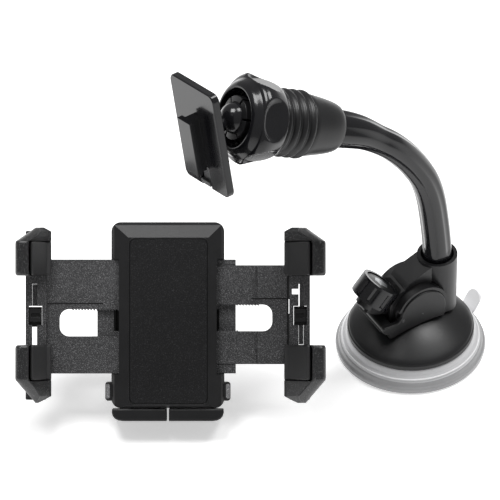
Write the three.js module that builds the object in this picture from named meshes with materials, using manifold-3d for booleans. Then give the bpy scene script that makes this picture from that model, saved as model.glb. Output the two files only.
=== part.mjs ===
// Car phone mount: a suction arm with a ball head and clip plate, and the phone holder that clips to it.
// Millimetres, +Z up. The origin is the centre of the suction face. The holder stands off the arm,
// to its left.
import * as THREE from "three";
import { mergeVertices } from "three/addons/utils/BufferGeometryUtils.js";
import Module from "manifold-3d";

const wasm = await Module();
wasm.setup();

// ---- driving dimensions ----
const gap = 0.3; // between touching pieces
const viewTilt = 48; // degrees that the holder leans back
const cup = {
  radius: 40, wall: 3.1, rimRadius: 33.9, rimZ: 11, tabWidth: 10, tabLength: 12.5, tabSlope: 55,
  tabAngle: 7,
};
const dome = { wallTop: 13.8, crown: 26.2, wall: 2, bore: 6 };
const stud = { radius: 5, foot: 4.8, eyeWidth: 9, stroke: 1.2 };
const pin = { radius: 2.5, z: 33, length: 25.2 };
const lever = { radius: 13.5, cheekIn: 10.3, cheekOut: 13.3, opens: 8 };
const base = { turn: 30, tiltBack: 4, tiltForward: 4 };
const bracket = { socketX: 15.7, socketRadius: 10.8, top: 57.8, seatDepth: 16, webHalf: 7.5, rim: 2 };
const knob = {
  radius: 11, length: 11.5, x: -22.5, z: 48.2, slope: 49, flutes: 8, hub: 4.5, boltRadius: 2.5,
};
const neck = { radius: 7.8, core: 3, turn: 23, sides: 18 };
const head = {
  rise: 25, sleeve: 20.7, sleeveSmall: 12, sleeveLarge: 17, ribs: 4, ribPitch: 5, ribRadius: 18,
};
const nut = {
  length: 16.4, lobes: 5, lobeRadius: 24.2, waist: 19.2, ring: 4.8, mouth: 15.4, turn: -18.7,
};
const ball = { radius: 8.5, stem: 4, plateGap: 19, sunk: 1 };
const plate = { width: 40, height: 60.5, drop: 0.8, depth: 4.3, corner: 4, turn: 215.2, roll: 14.3 };
const rail = { flange: 11.5, web: 6, stand: 7.6, flangeDepth: 3.2, low: 11.5, high: 42.5 };
const latch = { width: 8, length: 13, depth: 2 };
const body = { half: 29.75, top: 52.6, bottom: -45.4, depth: 20, shell: 2.2, corner: 5 };
const notch = { depth: 4, low: -27.6, high: 33.1 };
const pad = { left: -19.9, right: 20.7, low: -42.9, high: 43.6, corner: 2.8, proud: 0.4 };
const foot = { height: 6.6 };
const arm = {
  travel: 30, skin: 2, lift: -4.6, leftLow: -27.2, leftHigh: 32.9, rightLow: -22.3, rightHigh: 29.9,
};
const armSlot = { leftLow: -7.6, leftHigh: 6.7, rightLow: -4.9, rightHigh: 9.1, tooth: 1 };
const reach = { railIn: 64, railWidth: 10.9, tail: 35.8, bar: 8.8 };
const claw = { wideLeft: 18.6, wideRight: 21.8, rise: 17, wall: 7.4 };
const button = { low: -41.6, high: -31.5, proud: 3.3, stroke: 1.5 };

// ---- solids ----
const rad = THREE.MathUtils.degToRad;

function solid(geometry) {
  const loose = geometry.index ? geometry.toNonIndexed() : geometry.clone();
  loose.deleteAttribute("normal");
  loose.deleteAttribute("uv");
  const merged = mergeVertices(loose, 1e-4);
  const triVerts = new Uint32Array(merged.index.array);
  const vertProperties = merged.attributes.position.array;
  const made = new wasm.Manifold(new wasm.Mesh({ numProp: 3, vertProperties, triVerts }));
  if (made.volume() >= 0) return made;
  for (let i = 0; i < triVerts.length; i += 3) [
    triVerts[i + 1], triVerts[i + 2],
  ] = [triVerts[i + 2], triVerts[i + 1]];
  return new wasm.Manifold(new wasm.Mesh({ numProp: 3, vertProperties, triVerts }));
}

function moved(geometry, x, y, z) {
  geometry.translate(x, y, z);
  return geometry;
}

// a block between two corners
function block(x0, x1, y0, y1, z0, z1) {
  const box = new THREE.BoxGeometry(x1 - x0, y1 - y0, z1 - z0);
  return solid(moved(box, (x0 + x1) / 2, (y0 + y1) / 2, (z0 + z1) / 2));
}

// a round bar between two points
function bar(from, to, radius, sides = 24, farRadius = radius) {
  const a = new THREE.Vector3(...from);
  const b = new THREE.Vector3(...to);
  const geometry = new THREE.CylinderGeometry(farRadius, radius, a.distanceTo(b), sides);
  const turn = new THREE.Quaternion().setFromUnitVectors(
    new THREE.Vector3(0, 1, 0), b.clone().sub(a).normalize(),
  );
  geometry.applyQuaternion(turn);
  const middle = a.add(b).multiplyScalar(0.5);
  return solid(moved(geometry, middle.x, middle.y, middle.z));
}

// a turned solid about Z, from [radius, height] pairs running anticlockwise from the axis
function turned(profile, sides = 48) {
  const points = profile.map(([r, z]) => new THREE.Vector2(r, z));
  if (profile[0][0] > 0) points.push(points[0].clone());
  const geometry = new THREE.LatheGeometry(points, sides);
  geometry.rotateX(Math.PI / 2);
  return solid(geometry);
}

function outline(points) {
  return new THREE.Shape(points.map(([x, y]) => new THREE.Vector2(x, y)));
}

function roundedOutline(x0, x1, y0, y1, r) {
  const s = new THREE.Shape();
  s.moveTo(x0 + r, y0);
  s.lineTo(x1 - r, y0);
  s.absarc(x1 - r, y0 + r, r, -Math.PI / 2, 0, false);
  s.lineTo(x1, y1 - r);
  s.absarc(x1 - r, y1 - r, r, 0, Math.PI / 2, false);
  s.lineTo(x0 + r, y1);
  s.absarc(x0 + r, y1 - r, r, Math.PI / 2, Math.PI, false);
  s.lineTo(x0, y0 + r);
  s.absarc(x0 + r, y0 + r, r, Math.PI, 1.5 * Math.PI, false);
  return s;
}

// an outline in XY raised from z0 to z1, with an optional bevel inside those heights
function raised(shape, z0, z1, bevel = 0) {
  const geometry = new THREE.ExtrudeGeometry(shape, {
    depth: z1 - z0 - 2 * bevel,
    bevelEnabled: bevel > 0,
    bevelThickness: bevel,
    bevelSize: bevel,
    bevelOffset: -bevel,
    bevelSegments: 1,
    curveSegments: 4,
  });
  return solid(moved(geometry, 0, 0, z0 + bevel));
}

// an outline in XZ given thickness along Y, from y0 to y1
function upright(shape, y0, y1) {
  const geometry = new THREE.ExtrudeGeometry(
    shape, { depth: y1 - y0, bevelEnabled: false, curveSegments: 8 },
  );
  geometry.rotateX(Math.PI / 2);
  return solid(moved(geometry, 0, y1, 0));
}

// the biggest body of a solid, without loose slivers
function largest(made) {
  return made.decompose().sort((a, b) => b.volume() - a.volume())[0];
}

function placed(made, matrix) {
  return made.transform(matrix.toArray());
}

const materials = {
  satin: { color: 0x2c2c2e, roughness: 0.45, metalness: 0 },
  gloss: { color: 0x151517, roughness: 0.15, metalness: 0 },
  grained: { color: 0x3a3a3c, roughness: 0.6, metalness: 0 },
  padding: { color: 0x1b1b1c, roughness: 0.9, metalness: 0 },
  rubber: { color: 0x4a4a4c, roughness: 0.8, metalness: 0 },
  clear: { color: 0xc8c8c8, roughness: 0.3, metalness: 0 },
  steel: { color: 0xb4b6b8, roughness: 0.3, metalness: 1 },
  key: { color: 0x9a9a9c, roughness: 0.6, metalness: 0 },
};

function piece(name, made, finish) {
  const mesh = made.getMesh();
  const geometry = new THREE.BufferGeometry();
  const size = mesh.numProp;
  const position = new Float32Array(mesh.numVert * 3);
  for (let i = 0; i < mesh.numVert; i++) position.set(
    mesh.vertProperties.subarray(i * size, i * size + 3), i * 3,
  );
  geometry.setAttribute("position", new THREE.BufferAttribute(position, 3));
  geometry.setIndex(new THREE.BufferAttribute(mesh.triVerts, 1));
  geometry.computeVertexNormals();
  const part = new THREE.Mesh(geometry, new THREE.MeshStandardMaterial(materials[finish]));
  part.name = name;
  return part;
}

// turns a solid about the lever pin, in the base's own frame; positive leans it back, away from the knob
function aboutPin(made, degrees) {
  const there = new THREE.Matrix4().makeTranslation(0, 0, pin.z);
  const back = new THREE.Matrix4().makeTranslation(0, 0, -pin.z);
  return placed(made, there.multiply(new THREE.Matrix4().makeRotationY(rad(degrees))).multiply(back));
}

// ---- suction base ----
const domeOuter = [
  [cup.rimRadius, cup.rimZ + gap],
  [cup.rimRadius, dome.wallTop],
  [32.4, 15.5],
  [28, 18.2],
  [23, 20.4],
  [19, 22.2],
  [15, 23.7],
  [10, 25.2],
  [dome.bore, dome.crown],
];

function domeBlank(extra) {
  const grown = domeOuter.map(([r, z]) => [r + extra, z + extra]);
  return turned([[0, 0], [cup.rimRadius + extra, 0], ...grown, [0, dome.crown + extra]], 36);
}

function clearOfDome(made, angles) {
  return angles.reduce((left, a) => left.subtract(aboutPin(domeBlank(2 * gap), a)), made);
}

function suctionDisc() {
  const socket = stud.radius + gap;
  const cupBody = turned([
    [0, 0],
    [cup.radius, 0],
    [cup.radius, cup.wall],
    [cup.radius - 0.5, cup.wall + 0.5],
    [cup.radius - 1.6, cup.wall + 2.4],
    [cup.radius - 3.2, cup.wall + 3.2],
    [cup.rimRadius - gap, cup.rimZ],
    [29, cup.rimZ],
    [26.5, 7],
    [9, 5.4],
    [9, 12],
    [socket, 12],
    [socket, stud.foot - stud.stroke - gap],
    [0, stud.foot - stud.stroke - gap],
  ], 40);
  const half = cup.tabWidth / 2;
  const tab = raised(roundedOutline(-3, cup.tabLength, -half, half, half - 0.5), -0.8, 0.8);
  const turn = new THREE.Matrix4()
    .makeRotationZ(rad(cup.tabAngle))
    .multiply(new THREE.Matrix4().makeTranslation(cup.radius - 1.6, 0, cup.wall))
    .multiply(new THREE.Matrix4().makeRotationY(-rad(cup.tabSlope)));
  return cupBody.add(placed(tab, turn).intersect(block(0, 80, -40, 40, 0.2, 40)));
}

function suctionDome() {
  const inner = domeOuter.slice(1).reverse().map(
    ([r, z]) => [Math.max(dome.bore, r - dome.wall * 0.8), z - dome.wall],
  );
  return turned([...domeOuter, ...inner, [cup.rimRadius - dome.wall, cup.rimZ + gap]], 36);
}

function pinHole(y0, y1, radius = pin.radius + gap) {
  return bar([0, y0, pin.z], [0, y1, pin.z], radius, 16);
}

function cupStud() {
  const half = stud.eyeWidth / 2;
  const shank = bar([0, 0, stud.foot], [0, 0, pin.z - 3], stud.radius - 0.2, 24);
  const eye = bar([0, -half, pin.z], [0, half, pin.z], stud.radius, 24);
  const hole = pinHole(-half - 1, half + 1);
  const slotTop = placed(hole, new THREE.Matrix4().makeTranslation(0, 0, stud.stroke));
  const keepWidth = block(-8, 8, -half, half, 0, 60);
  return shank.intersect(keepWidth).add(eye).subtract(hole).subtract(slotTop);
}

function suctionLever() {
  const side = new THREE.Shape();
  side.absarc(0, pin.z, lever.radius, rad(-12), rad(172), false);
  side.lineTo(-17, 31.5);
  side.lineTo(-24.5, 32);
  side.lineTo(-25.5, 29.5);
  side.lineTo(-21.5, 25.2);
  side.lineTo(-19.5, 19);
  side.lineTo(0, 18);
  const near = upright(side, -lever.cheekOut, -lever.cheekIn);
  const far = upright(side, lever.cheekIn, lever.cheekOut);
  const grip = outline(
    [[-18.5, 27], [-18.5, 31], [-24.5, 32], [-25.5, 29.5], [-22.5, 25.5], [-20, 23.5]],
  );
  const bridge = upright(grip, -lever.cheekIn - 0.5, lever.cheekIn + 0.5);
  const ribs = [0, 1, 2].map(
    (i) => block(-24.6 + 2.4 * i, -23.6 + 2.4 * i, -lever.cheekOut, lever.cheekOut, 26, 31),
  );
  const joined = ribs.reduce(
    (all, r) => all.add(r.intersect(upright(side, -20, 20))), near.add(far).add(bridge),
  );
  const drilled = joined.subtract(pinHole(-pin.length / 2 - gap, pin.length / 2 + gap));
  return clearOfDome(drilled, [0, -4, -8, -lever.opens]);
}

const knobAxis = new THREE.Vector3(Math.cos(rad(knob.slope)), 0, Math.sin(rad(knob.slope)));
const knobCentre = new THREE.Vector3(knob.x, 0, knob.z);

function alongKnob(distance) {
  return knobCentre.clone().addScaledVector(knobAxis, distance).toArray();
}

function neckBracket() {
  const r = bracket.socketRadius;
  const x = bracket.socketX;
  const half = bracket.webHalf;
  const socket = bar([x, 0, 12], [x, 0, bracket.top], r, 32);
  const web = outline(
    [[x, 20], [x, 56.5], [8, 56.8], [-6, 51], [-8.4, 47.8], [-13.5, 46.5], [-17.6, 40], [-17.6, 30],
      [-12, 24]],
  );
  const webPlate = upright(web, -half, half);
  const barrel = bar([0, -12.4, pin.z], [0, 12.4, pin.z], lever.radius + bracket.rim, 32);
  const pocket = bar([0, lever.cheekIn - gap, pin.z], [0, 14, pin.z], lever.radius + gap, 32);
  const otherPocket = bar([0, -14, pin.z], [0, gap - lever.cheekIn, pin.z], lever.radius + gap, 32);
  const nose = bar(alongKnob(-knob.length / 2 - 4), alongKnob(-knob.length / 2 - gap), 5.6, 20);
  const arm = upright(outline([[-12, 30], [-18, 30], [-25, 36], [-31, 40], [-27, 44], [-12, 47]]), -5, 5);
  const seat = bar(
    [x, 0, bracket.top - bracket.seatDepth], [x, 0, bracket.top + 1], neck.radius + 0.8 + gap, 32,
  );
  const studRoom = block(-8, 8, -stud.eyeWidth / 2 - gap, stud.eyeWidth / 2 + gap, 5, pin.z)
    .add(
      bar([0, -stud.eyeWidth / 2 - gap, pin.z], [0, stud.eyeWidth / 2 + gap, pin.z], stud.radius + 1.6, 24),
    );
  const knobRoom = bar(
    alongKnob(-knob.length / 2 - gap), alongKnob(knob.length / 2 + 2), knob.radius + 0.6, 32,
  );
  const boltRoom = bar(alongKnob(-30), alongKnob(20), knob.boltRadius + gap, 16);
  const reachable = outline([[-40, 10], [-18.1, 10], [-18.1, 33.8], [-24.8, 36], [-40, 40]]);
  const leverRoom = upright(reachable, -14, 14)
    .add(block(-40, -8, lever.cheekIn - gap, 15, 10, 37.6))
    .add(block(-40, -8, -15, gap - lever.cheekIn, 10, 37.6));
  let made = socket.add(webPlate).add(barrel);
  made = made.subtract(pocket).subtract(otherPocket).subtract(studRoom).subtract(pinHole(-20, 20));
  made = made.subtract(leverRoom).add(nose.add(arm).subtract(leverRoom));
  made = made.subtract(seat).subtract(knobRoom).subtract(boltRoom);
  return largest(clearOfDome(made, [-base.tiltBack, -base.tiltBack / 2, 0, base.tiltForward]));
}

function leverPin() {
  return pinHole(-pin.length / 2, pin.length / 2, pin.radius);
}

function tiltKnob() {
  const half = knob.length / 2;
  const drum = bar(alongKnob(-half), alongKnob(half), knob.radius, 32);
  const bore = bar(alongKnob(-half - 1), alongKnob(half + 1), knob.boltRadius + gap, 16);
  const dish = bar(alongKnob(half - 1.2), alongKnob(half + 1), knob.radius - 2, 32);
  const side = new THREE.Vector3(0, 1, 0);
  let made = drum.subtract(bore).subtract(dish);
  for (let i = 0; i < knob.flutes; i++) {
    const out = side.clone().applyAxisAngle(knobAxis, (i * 2 * Math.PI) / knob.flutes);
    const low = knobCentre.clone()
      .addScaledVector(out, knob.radius + 1.2)
      .addScaledVector(knobAxis, 1.6 - half);
    const high = low.clone().addScaledVector(knobAxis, knob.length - 3.2);
    made = made.subtract(bar(low.toArray(), high.toArray(), 2.4, 10));
  }
  return made;
}

function tiltBolt() {
  const half = knob.length / 2;
  const shank = bar(alongKnob(-half - 3.6), alongKnob(half - 0.4), knob.boltRadius, 16);
  const head = bar(alongKnob(half - 0.9), alongKnob(half - 0.1), knob.hub, 6);
  return shank.add(head);
}

// ---- neck, in its own frame: the socket's axis is x = 0 and the head lies towards -x ----
const neckFoot = bracket.top - bracket.seatDepth + gap;
const bendPoint = new THREE.Vector3(-11.2, 0, 119.2);
const neckEnd = new THREE.Vector3(-60.5, 0, 166.5);
const headAxis = new THREE.Vector3(-Math.cos(rad(head.rise)), 0, Math.sin(rad(head.rise)));
const lowerRoute = new THREE.CatmullRomCurve3([
  new THREE.Vector3(0, 0, neckFoot),
  new THREE.Vector3(0, 0, bracket.top),
  new THREE.Vector3(-0.8, 0, 70),
  new THREE.Vector3(-2.4, 0, 84.8),
  new THREE.Vector3(-4.4, 0, 98.4),
  new THREE.Vector3(-7.2, 0, 109.5),
  bendPoint,
]);
const upperRoute = new THREE.CatmullRomCurve3([
  bendPoint,
  new THREE.Vector3(-18.4, 0, 131.4),
  new THREE.Vector3(-27.2, 0, 142.4),
  new THREE.Vector3(-35.6, 0, 150.2),
  new THREE.Vector3(-46.5, 0, 158.9),
  neckEnd,
  neckEnd.clone().addScaledVector(headAxis, 14),
]);

function tube(route, radius, from, to, steps, sides) {
  const points = [];
  for (let i = 0; i <= steps; i++) points.push(route.getPointAt(from + ((to - from) * i) / steps));
  const round = new THREE.Shape();
  round.absarc(0, 0, radius, 0, 2 * Math.PI, false);
  const path = new THREE.CatmullRomCurve3(points);
  return solid(new THREE.ExtrudeGeometry(round, { steps, extrudePath: path, curveSegments: sides / 2 }));
}

function sphere(centre, radius, sides = 24) {
  const geometry = new THREE.SphereGeometry(radius, sides, sides / 2);
  return solid(moved(geometry, centre.x, centre.y, centre.z));
}

const bendBall = neck.radius + 0.6;

function neckLower() {
  const skin = tube(lowerRoute, neck.radius, 0, 1, 12, neck.sides);
  const collar = bar([0, 0, neckFoot], [0, 0, bracket.top - 2], neck.radius + 0.8, neck.sides);
  const bore = tube(lowerRoute, neck.core + gap, 0, 0.84, 8, 8);
  const mouth = block(-9, 9, -9, 9, neckFoot - 2, neckFoot);
  return skin.add(collar).add(sphere(bendPoint, bendBall, 20)).subtract(bore).subtract(mouth);
}

function neckUpper() {
  const skin = tube(upperRoute, neck.radius, 0, 1, 12, neck.sides);
  const bore = tube(upperRoute, neck.core + gap, 0.2, 1, 8, 8);
  return largest(skin.subtract(sphere(bendPoint, bendBall + gap)).subtract(bore));
}

// ---- head, turned about its own axis: height 0 is the sleeve's small end ----
const sleeveBore = neck.radius + gap + 0.2;
const ribsEnd = head.sleeve + head.ribs * head.ribPitch;
const nutStart = ribsEnd + gap;
const nutEnd = nutStart + nut.length;
const mouthEnd = nutEnd + nut.ring;
const ballHeight = mouthEnd - ball.sunk;
const cavity = ballHeight - 14.5;

function ballHousing() {
  const profile = [
    [sleeveBore, 0], [head.sleeveSmall - 1.5, 0], [head.sleeveSmall, 1.5],
    [head.sleeveLarge, head.sleeve],
  ];
  for (let i = 0; i < head.ribs; i++) {
    const start = head.sleeve + i * head.ribPitch;
    profile.push([head.ribRadius - 1.8, start + 0.6], [head.ribRadius, start + 2.2]);
    profile.push([head.ribRadius - 1.8, start + head.ribPitch - 0.4]);
  }
  profile.push(
    [head.ribRadius - 2.2, ribsEnd], [13.6, ribsEnd], [13.6, nutEnd - 3], [12, nutEnd - 3],
    [12, cavity - 2],
  );
  profile.push([3, cavity - 2], [3, 16], [sleeveBore, 16]);
  return turned(profile, 28);
}

function ballCup() {
  const inner = ball.radius + 0.2;
  const profile = [
    [0, cavity - 1.5], [11.6, cavity - 1.5], [11.6, ballHeight + 1], [inner * 0.97, ballHeight + 1.5],
  ];
  for (let a = 0; a <= 80; a += 20) profile.push(
    [inner * Math.cos(rad(a)), ballHeight - inner * Math.sin(rad(a))],
  );
  profile.push([0, ballHeight - inner]);
  let made = turned(profile, 24);
  for (let a = 0; a < 180; a += 60) {
    const slit = block(-14, 14, -0.6, 0.6, ballHeight - 6, ballHeight + 4);
    made = made.subtract(placed(slit, new THREE.Matrix4().makeRotationZ(rad(a))));
  }
  return made;
}

function clampNut() {
  const shell = turned([
    [14, nutStart],
    [nut.waist - 0.6, nutStart],
    [nut.waist, nutStart + 1],
    [nut.waist, nutEnd],
    [nut.waist - 1.2, nutEnd + 0.6],
    [nut.waist - 0.4, nutEnd + 1.4],
    [nut.waist - 1, mouthEnd - 1.5],
    [nut.mouth + 0.6, mouthEnd],
    [nut.mouth, mouthEnd - 0.6],
    [14, nutEnd - 2],
  ], 32);
  const lobed = new THREE.Shape();
  const steps = nut.lobes * 8;
  const middle = (nut.lobeRadius + nut.waist) / 2;
  const swing = (nut.lobeRadius - nut.waist) / 2;
  for (let i = 0; i < steps; i++) {
    const a = (i * 2 * Math.PI) / steps;
    const r = middle + swing * Math.cos(nut.lobes * a);
    if (i) lobed.lineTo(r * Math.cos(a), r * Math.sin(a));
    else lobed.moveTo(r, 0);
  }
  const grip = raised(lobed, nutStart, nutEnd - 2);
  const taper = turned(
    [[14.2, nutStart], [25, nutStart], [25.2, nutEnd - 9], [20, nutEnd - 1], [14.2, nutEnd - 1]], 32,
  );
  const hollow = turned([[0, nutStart - 1], [14, nutStart - 1], [14, nutEnd], [0, nutEnd]], 32);
  return shell.add(grip.intersect(taper).subtract(hollow));
}

// ---- ball stud and clip plate, in the plate's frame: +x is out of the plate's front, +z is up ----
function ballStem() {
  let made = bar([ball.radius - 1, 0, 0], [ball.plateGap - gap, 0, 0], ball.stem, 20);
  for (const x of [11.5, 13.7, 15.9]) made = made.add(bar([x, 0, 0], [x + 1, 0, 0], ball.stem + 0.6, 20));
  return made.subtract(sphere(new THREE.Vector3(), ball.radius + gap, 20));
}

// an outline in the plate's YZ, raised along its x
function facing(shape, x0, x1, bevel = 0) {
  const flat = raised(shape, x0, x1, bevel);
  const turn = new THREE.Matrix4().set(0, 0, 1, 0, 1, 0, 0, 0, 0, 1, 0, 0, 0, 0, 0, 1);
  return placed(flat, turn);
}

const plateFront = ball.plateGap + plate.depth;
const plateFoot = -plate.height / 2 - plate.drop;

function clipPlate() {
  const half = plate.width / 2;
  const sheet = facing(
    roundedOutline(-half, half, plateFoot, plateFoot + plate.height, plate.corner), ball.plateGap,
    plateFront, 0.6,
  );
  const low = plateFoot + rail.low;
  const high = plateFoot + rail.high;
  const out = plateFront + rail.stand;
  const web = block(plateFront - 1, out, -rail.web / 2, rail.web / 2, low, high);
  const flange = block(out - rail.flangeDepth, out, -rail.flange / 2, rail.flange / 2, low, high);
  const room = latch.width / 2 + gap + 0.3;
  const slotTop = plateFoot + latch.length;
  const slot = block(ball.plateGap - 1, plateFront + 0.1, -room, room, plateFoot - 1, slotTop);
  return sheet.add(web.add(flange)).subtract(slot);
}

function clipLatch() {
  const half = latch.width / 2;
  const x = ball.plateGap + 0.8;
  const tongue = block(x, x + latch.depth, -half, half, plateFoot + 1.5, plateFoot + latch.length - gap);
  return tongue.add(block(x, plateFront + 0.5, -half, half, plateFoot + 1.5, plateFoot + 4));
}

// ---- holder, in its own frame: x to the right, y up its face, z out of its face; z = 0 is the
// pad's rim ----
const skinBack = arm.lift - arm.skin;
const plateTop = skinBack - gap;
const plateBack = plateTop - 2.2;
const tailTop = plateBack - gap;
const tailBack = tailTop - arm.skin;
const split = tailBack - 0.1; // where the two covers meet
const pinionCentre = [0, (armSlot.leftHigh + armSlot.rightLow) / 2];
const pinionTeeth = 21;
const pinionRadius = (armSlot.leftHigh - armSlot.rightLow - armSlot.tooth) / 2;
const toothPitch = (2 * Math.PI * pinionRadius) / pinionTeeth;

function holderOutline(inset) {
  const half = body.half - inset;
  return roundedOutline(-half, half, body.bottom + inset, body.top - inset, body.corner - inset);
}

const pawl = { x0: 12.4, x1: 16.2, barLow: -37.4, barHigh: -33.4, barLeft: -6, barRight: 17.5 };
const screwPlaces = [[-22, 46.5], [22, 46.5], [-22.8, -41.6], [22.8, -41.6]];

function frontCover() {
  const floor = split + gap;
  const across = outline([
    [-body.half, floor], [body.half, floor], [body.half, -5.4], [body.half - 1.6, -3.6],
    [pad.right + 0.9, 0], [pad.left - 0.9, 0], [1.6 - body.half, -3.6], [-body.half, -5.4],
  ]);
  const along = outline([
    [body.bottom, floor], [body.top, floor], [body.top, -5.4], [body.top - 1.6, -3.6],
    [pad.high + 0.9, 0], [pad.low - 0.9, 0], [body.bottom + 0.4, -1.6], [body.bottom, -3],
  ]);
  const turn = new THREE.Matrix4().set(0, 0, 1, 0, 1, 0, 0, 0, 0, 1, 0, 0, 0, 0, 0, 1);
  const acrossSolid = upright(across, -60, 60);
  const alongSolid = placed(raised(along, -40, 40), turn);
  let made = raised(holderOutline(0), floor, 0).intersect(acrossSolid).intersect(alongSolid);
  const inside = body.half - body.shell;
  made = made.subtract(
    raised(roundedOutline(-inside, inside, body.bottom + body.shell, body.top - body.shell, 3), -14, -7),
  );
  made = made.subtract(block(-19, 19, -42.9, 42, -14, -2.6));
  made = made.subtract(block(-40, 40, notch.low, notch.high, -14, arm.lift + gap));
  for (const s of [-1, 1]) {
    const edge = s * (body.half - notch.depth);
    made = made.subtract(
      block(Math.min(edge, s * 40), Math.max(edge, s * 40), notch.low, notch.high, -14, 2),
    );
    const door = [s * (body.half - 3 - button.stroke), s * 40].sort((a, b) => a - b);
    made = made.subtract(block(door[0], door[1], button.low - gap, button.high + gap, -10.4, -5.2));
    const way = [s * 14, s * 40].sort((a, b) => a - b);
    made = made.subtract(
      block(way[0], way[1], pawl.barLow - 0.5 - button.stroke, pawl.barHigh + 0.5, -8, -4.5),
    );
  }
  const recess = roundedOutline(
    pad.left - gap, pad.right + gap, pad.low - gap, pad.high + gap, pad.corner,
  );
  made = made.subtract(raised(recess, -1, 2));
  for (const [x, y] of screwPlaces) {
    const post = bar([x, y, floor], [x, y, -5.6], 2.6, 12);
    made = made.add(post).subtract(bar([x, y, -14], [x, y, -7], 1.3, 8));
  }
  return largest(made);
}

function frontPad() {
  return raised(roundedOutline(pad.left, pad.right, pad.low, pad.high, pad.corner), -1 + gap, pad.proud);
}

function rearCover() {
  const top = split;
  const back = -body.depth;
  let made = raised(holderOutline(0), back, top, 1.2).add(raised(holderOutline(0), back + 2, top));
  made = made.subtract(raised(holderOutline(body.shell), back + body.shell, top + 2));
  const [px, py] = pinionCentre;
  made = made.add(bar([px, py, back + 1], [px, py, plateTop - 0.5], 2, 16));
  for (const [x, y] of screwPlaces) {
    made = made.add(bar([x, y, back + 1], [x, y, top], 3.6, 12));
    made = made.subtract(bar([x, y, back - 1], [x, y, top + 1], 1.5, 8));
    made = made.subtract(bar([x, y, back - 1], [x, y, back + 2.6], 2.7, 12));
  }
  return made.intersect(raised(holderOutline(0), back - 1, 4));
}

function coverScrew([x, y]) {
  const back = -body.depth;
  const shank = bar([x, y, back + 1], [x, y, -7.6], 1.1, 10);
  const head = bar([x, y, back + 0.6], [x, y, back + 2.3], 2.3, 14);
  const slot = block(x - 1.6, x + 1.6, y - 0.35, y + 0.35, back, back + 1.2);
  return shank.add(head).subtract(slot);
}

const receiver = { half: 13, low: -20, high: 22, depth: 10 };

function clipReceiver() {
  const front = -body.depth - gap;
  const back = front - receiver.depth;
  const blank = raised(
    roundedOutline(-receiver.half, receiver.half, receiver.low, receiver.high, 3), back, front, 0.6,
  );
  const length = rail.high - rail.low + 2 * gap;
  const tip = back + rail.stand + gap;
  const flangeHalf = rail.flange / 2 + gap;
  const webHalf = rail.web / 2 + gap;
  const top = receiver.low + length;
  const wide = block(
    -flangeHalf, flangeHalf, receiver.low - 1, top, tip - rail.flangeDepth - 2 * gap, tip,
  );
  const narrow = block(-webHalf, webHalf, receiver.low - 1, top, back - 1, tip - 1);
  return blank.subtract(wide).subtract(narrow);
}

// a row of rack teeth along x: they point down from y when side is -1, up from y when it is 1
function rack(x0, x1, phase, y, side, z0, z1) {
  const first = Math.ceil(x0 / toothPitch - phase) + phase;
  const half = toothPitch * 0.3;
  const points = [[first * toothPitch - half, y - side * 0.4]];
  let end = 0;
  for (let k = first; k * toothPitch <= x1; k++) {
    const x = k * toothPitch;
    points.push([x - half, y], [x, y + side * armSlot.tooth], [x + half, y]);
    end = x + half;
  }
  points.push([end, y - side * 0.4]);
  return raised(outline(points), z0, z1);
}

function slotShape(x0, x1, y0, y1, roundLeft, roundRight) {
  const r = Math.min(5, (y1 - y0) / 2 - 0.5);
  const s = new THREE.Shape();
  s.moveTo(x0 + (roundLeft ? r : 0), y0);
  s.lineTo(x1 - (roundRight ? r : 0), y0);
  if (roundRight) s.absarc(x1 - r, y0 + r, r, -Math.PI / 2, 0, false);
  s.lineTo(x1, y1 - (roundRight ? r : 0));
  if (roundRight) s.absarc(x1 - r, y1 - r, r, 0, Math.PI / 2, false);
  s.lineTo(x0 + (roundLeft ? r : 0), y1);
  if (roundLeft) s.absarc(x0 + r, y1 - r, r, Math.PI / 2, Math.PI, false);
  s.lineTo(x0, y0 + (roundLeft ? r : 0));
  if (roundLeft) s.absarc(x0 + r, y0 + r, r, Math.PI, 1.5 * Math.PI, false);
  return s;
}

const skinEnd = -20;
const tailStart = -40;

function leftArm() {
  const { leftLow: low, leftHigh: high } = arm;
  const skin = block(-reach.railIn, skinEnd, low, high, skinBack, arm.lift);
  const upperWall = block(-reach.railIn, skinEnd, arm.rightHigh + gap, high, tailBack, arm.lift);
  const lowerWall = block(-reach.railIn, skinEnd, low, arm.rightLow - gap, tailBack, arm.lift);
  const ears = block(skinEnd - 1, reach.tail, arm.rightHigh + gap, high, tailBack, plateTop)
    .add(block(skinEnd - 1, reach.tail, low, arm.rightLow - gap, tailBack, plateTop));
  const tail = block(tailStart, reach.tail, low, high, tailBack, tailTop);
  const { leftLow, leftHigh } = armSlot;
  const slot = raised(slotShape(-57, reach.tail - reach.bar, leftLow, leftHigh, true, false), -14, 2);
  const teeth = rack(
    -51, 8, 0.5, leftHigh, -1, tailBack, tailTop,
  ).subtract(block(-60, tailStart, -9, 9, -14, 2));
  const frontTeeth = rack(-51, skinEnd, 0.5, leftHigh, -1, skinBack, arm.lift);
  return skin.add(upperWall).add(lowerWall).add(ears).add(tail).subtract(slot).add(teeth).add(frontTeeth);
}

function rightArm() {
  const { rightLow: low, rightHigh: high } = arm;
  const sheet = block(-reach.tail - 1.4, reach.railIn - 1, low, high, plateBack, plateTop);
  const outer = block(pawl.x1 + arm.travel + 1, reach.railIn - 1, low, high, plateTop - 1, arm.lift);
  const { rightLow, rightHigh } = armSlot;
  const slot = raised(slotShape(-reach.tail - 1.4 + 8.8, 55, rightLow, rightHigh, false, true), -14, 2);
  const upperTeeth = rack(-24, 49, 0, rightHigh, -1, plateBack, plateTop);
  const lowerTeeth = rack(-8, 38, 0, rightLow, 1, plateBack, plateTop);
  return sheet.add(outer).subtract(slot).add(upperTeeth).add(lowerTeeth);
}

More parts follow.
